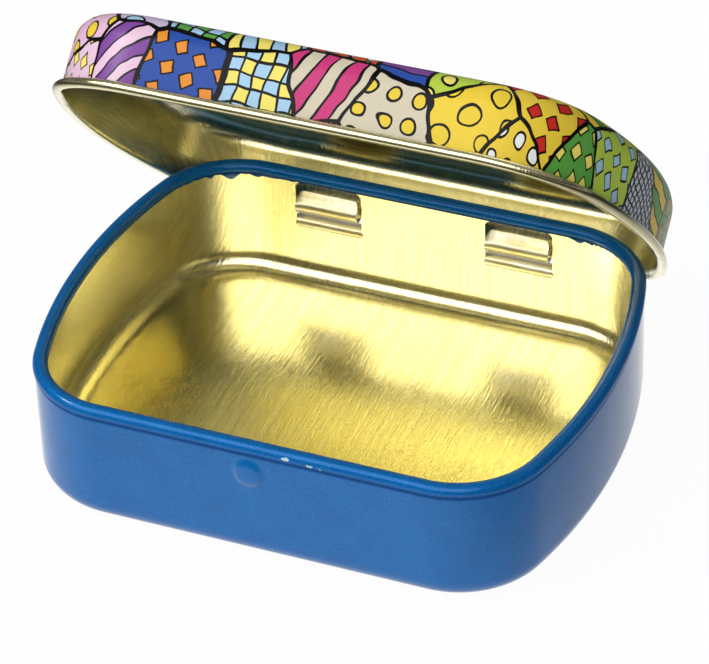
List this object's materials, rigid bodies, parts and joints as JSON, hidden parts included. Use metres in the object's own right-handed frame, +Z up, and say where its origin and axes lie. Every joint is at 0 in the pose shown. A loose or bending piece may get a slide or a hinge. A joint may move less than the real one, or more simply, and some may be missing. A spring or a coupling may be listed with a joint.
{
  "type": "hinged mint tin",
  "caption": "Small hinged pocket tin with rounded corners, a rolled rim and a lid that swings up at the back, shown half open.",
  "frame": {"origin": "centre of the tray's flat base, on the surface that it stands on", "axes": "+Z up, +X along the long side to the right, -Y towards the front wall with the dimple, +Y towards the hinges"},
  "size_m": [0.0628, 0.0519, 0.0487],
  "materials": {
    "blue_lacquer": "satin blue lacquer outside, gold lacquer inside",
    "printed_lid": "satin coloured print outside, gold lacquer inside",
    "gold_lacquer": "bright brushed gold lacquer"
  },
  "bodies": {
    "tray": {"base_tray": "blue_lacquer"},
    "lid": {"lid": "printed_lid"}
  },
  "joints": [
    {"name": "lid_hinge", "type": "hinge", "parent": "tray", "child": "lid", "pos_m": [0, 0.0231, 0.01], "axis": [-1, 0, 0], "range_deg": [-47.4, 52.6]}
  ]
}
